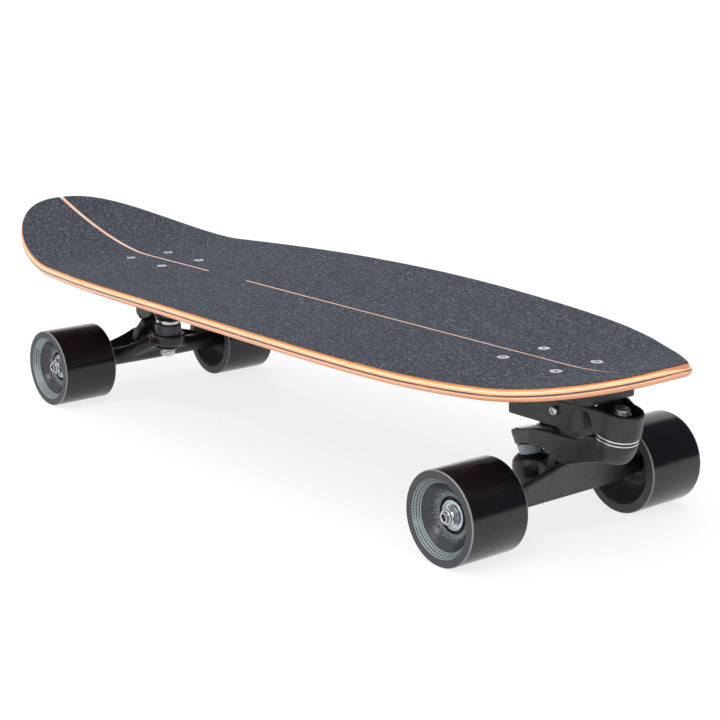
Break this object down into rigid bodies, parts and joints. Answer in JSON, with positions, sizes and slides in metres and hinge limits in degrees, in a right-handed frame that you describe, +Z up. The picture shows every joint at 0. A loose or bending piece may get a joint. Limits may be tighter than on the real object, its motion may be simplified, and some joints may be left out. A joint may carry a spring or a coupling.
{
  "type": "surf skateboard",
  "caption": "Surf skateboard with a kicked wooden deck, dark grip sheet, swivelling front truck, plain rear truck and soft wheels.",
  "frame": {"origin": "on the ground, below the middle of the deck", "axes": "+X towards the nose, +Y towards the board's left side, +Z up"},
  "size_m": [0.8424, 0.2646, 0.1648],
  "materials": {
    "wood": "varnished maple, satin",
    "grip": "abrasive, matt",
    "casting": "satin dark coat",
    "steel": "bright plated",
    "dark_steel": "blackened",
    "bushing": "satin",
    "pad": "satin",
    "wheel": "glossy tread, satin faces",
    "core": "satin"
  },
  "bodies": {
    "board": {"deck": "wood", "griptape": "grip", "front_bolt_inner_right": "steel", "front_bolt_inner_left": "steel", "front_bolt_outer_right": "steel", "front_bolt_outer_left": "steel", "rear_bolt_inner_right": "steel", "rear_bolt_inner_left": "steel", "rear_bolt_outer_right": "steel", "rear_bolt_outer_left": "steel", "front_base": "casting", "swivel_bearing": "steel", "thrust_washer_upper": "steel", "spring_bolt": "steel", "return_spring": "dark_steel", "rear_riser": "pad", "rear_baseplate": "casting", "rear_pivot_cup": "pad", "rear_kingpin": "steel", "rear_kingpin_nut": "steel", "rear_upper_bushing": "bushing", "rear_lower_bushing": "pad", "rear_upper_cup_washer": "steel", "rear_lower_cup_washer": "steel"},
    "front_arm": {"swivel_arm": "casting", "swivel_bolt": "steel", "swivel_nut": "steel", "thrust_washer_lower": "steel", "thrust_cage": "dark_steel", "front_pivot_cup": "pad", "front_kingpin": "steel", "front_kingpin_nut": "steel", "front_upper_bushing": "bushing", "front_lower_bushing": "pad", "front_upper_cup_washer": "steel", "front_lower_cup_washer": "steel"},
    "front_hanger": {"front_hanger": "casting", "front_axle": "steel", "front_left_axle_nut": "steel", "front_right_axle_nut": "steel"},
    "rear_hanger": {"rear_hanger": "casting", "rear_axle": "steel", "rear_left_axle_nut": "steel", "rear_right_axle_nut": "steel"},
    "front_left_wheel": {"front_left_tyre": "wheel", "front_left_core": "core", "front_left_inner_bearing": "steel", "front_left_outer_bearing": "steel"},
    "front_right_wheel": {"front_right_tyre": "wheel", "front_right_core": "core", "front_right_inner_bearing": "steel", "front_right_outer_bearing": "steel"},
    "rear_left_wheel": {"rear_left_tyre": "wheel", "rear_left_core": "core", "rear_left_inner_bearing": "steel", "rear_left_outer_bearing": "steel"},
    "rear_right_wheel": {"rear_right_tyre": "wheel", "rear_right_core": "core", "rear_right_inner_bearing": "steel", "rear_right_outer_bearing": "steel"}
  },
  "joints": [
    {"name": "front_arm_swivel", "type": "hinge", "parent": "board", "child": "front_arm", "pos_m": [0.35805, 0, 0.0855], "axis": [0.1908, 0, 0.9816], "range_deg": [-20, 20], "stiffness_Nm_per_rad": 15, "deforming": ["return_spring"]},
    {"name": "front_hanger_tilt", "type": "hinge", "parent": "front_arm", "child": "front_hanger", "pos_m": [0.27509, 0, 0.04501], "axis": [0.8257, 0, 0.5641], "range_deg": [-15, 15], "stiffness_Nm_per_rad": 60, "deforming": ["front_upper_bushing", "front_lower_bushing"]},
    {"name": "rear_hanger_tilt", "type": "hinge", "parent": "board", "child": "rear_hanger", "pos_m": [-0.22524, 0, 0.04859], "axis": [-0.8962, 0, 0.4437], "range_deg": [-15, 15], "stiffness_Nm_per_rad": 60, "deforming": ["rear_upper_bushing", "rear_lower_bushing"]},
    {"name": "front_left_wheel_spin", "type": "hinge", "parent": "front_hanger", "child": "front_left_wheel", "pos_m": [0.3015, 0.09, 0.035], "axis": [0, 1, 0], "continuous": true},
    {"name": "front_right_wheel_spin", "type": "hinge", "parent": "front_hanger", "child": "front_right_wheel", "pos_m": [0.3015, -0.09, 0.035], "axis": [0, 1, 0], "continuous": true},
    {"name": "rear_left_wheel_spin", "type": "hinge", "parent": "rear_hanger", "child": "rear_left_wheel", "pos_m": [-0.25, 0.09, 0.035], "axis": [0, 1, 0], "continuous": true},
    {"name": "rear_right_wheel_spin", "type": "hinge", "parent": "rear_hanger", "child": "rear_right_wheel", "pos_m": [-0.25, -0.09, 0.035], "axis": [0, 1, 0], "continuous": true}
  ]
}
